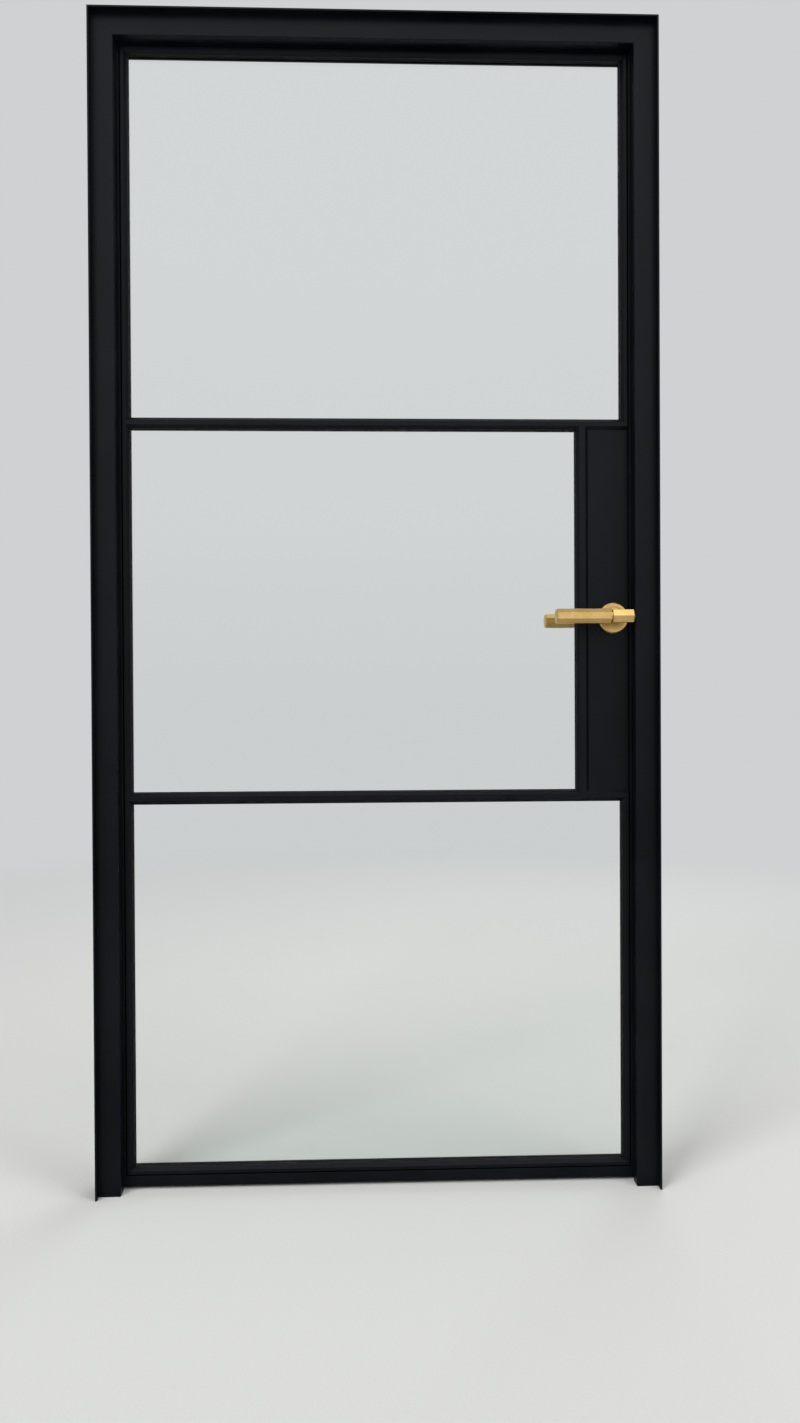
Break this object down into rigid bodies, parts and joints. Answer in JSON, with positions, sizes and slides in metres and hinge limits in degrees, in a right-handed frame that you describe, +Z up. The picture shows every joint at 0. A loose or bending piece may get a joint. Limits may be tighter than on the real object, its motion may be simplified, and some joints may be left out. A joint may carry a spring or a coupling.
{
  "type": "glazed interior door",
  "caption": "Black steel-framed interior door with a glazed, barred leaf, bevelled beads, lock panel and satin brass lever handles, hinged in its frame.",
  "frame": {"origin": "on the floor, at the middle of the frame's width and of the leaf's thickness", "axes": "+X to the right seen from the front, +Y away from the viewer, the way the leaf opens, +Z up"},
  "size_m": [1, 0.1446, 2.08],
  "materials": {
    "black_coat": "satin powder coat",
    "clear_glass": "clear float glass",
    "rubber": "matt",
    "plastic": "matt",
    "satin_brass": "satin, lacquered",
    "steel": "zinc-plated"
  },
  "bodies": {
    "frame": {"jamb_left": "black_coat", "jamb_right": "black_coat", "head": "black_coat", "seal_left": "rubber", "seal_right": "rubber", "seal_head": "rubber", "strike_plate": "steel", "strike_screws": "steel", "hinge_frame_leaves": "black_coat", "hinge_frame_screws": "steel", "hinge_pins": "steel", "hinge_washers": "plastic"},
    "leaf": {"stile_left": "black_coat", "stile_right": "black_coat", "rail_top": "black_coat", "rail_bottom": "black_coat", "bar_upper": "black_coat", "bar_lower": "black_coat", "bar_lock": "black_coat", "cap_upper": "black_coat", "cap_lower": "black_coat", "cap_lock": "black_coat", "bead_top": "black_coat", "bead_bottom": "black_coat", "bead_left_top": "black_coat", "bead_left_middle": "black_coat", "bead_left_bottom": "black_coat", "bead_right_top": "black_coat", "bead_right_bottom": "black_coat", "glass_top": "clear_glass", "glass_middle": "clear_glass", "glass_bottom": "clear_glass", "tapes_top": "rubber", "tapes_middle": "rubber", "tapes_bottom": "rubber", "setting_blocks": "plastic", "lock_panel_front": "black_coat", "lock_panel_rear": "black_coat", "lock_case": "steel", "lock_faceplate": "steel", "faceplate_screws": "steel", "hinge_leaf_leaves": "black_coat", "hinge_leaf_screws": "steel", "rose_front": "satin_brass", "rose_rear": "satin_brass", "rose_plate_front": "steel", "rose_plate_rear": "steel", "rose_bolts": "steel"},
    "lever": {"lever_bar_front": "satin_brass", "lever_bar_rear": "satin_brass", "lever_grip_front": "satin_brass", "lever_grip_rear": "satin_brass", "lever_neck_front": "satin_brass", "lever_neck_rear": "satin_brass", "grub_screws": "steel", "spindle": "steel", "follower": "steel"},
    "latch": {"latch_bolt": "steel"}
  },
  "joints": [
    {"name": "leaf_swing", "type": "hinge", "parent": "frame", "child": "leaf", "pos_m": [-0.4725, 0.0233, 1.04], "axis": [0, 0, 1], "range_deg": [0, 100]},
    {"name": "lever_turn", "type": "hinge", "parent": "leaf", "child": "lever", "pos_m": [0.426, 0, 1.02], "axis": [0, -1, 0], "range_deg": [0, 40], "stiffness_Nm_per_rad": 1.5, "springref_deg": -57.3},
    {"name": "latch_slide", "type": "slide", "parent": "leaf", "child": "latch", "axis": [-1, 0, 0], "range_m": [0, 0.0112]}
  ],
  "couplings": [
    {"joint": "latch_slide", "follows": "lever_turn", "m_per_rad": 0.01576}
  ]
}
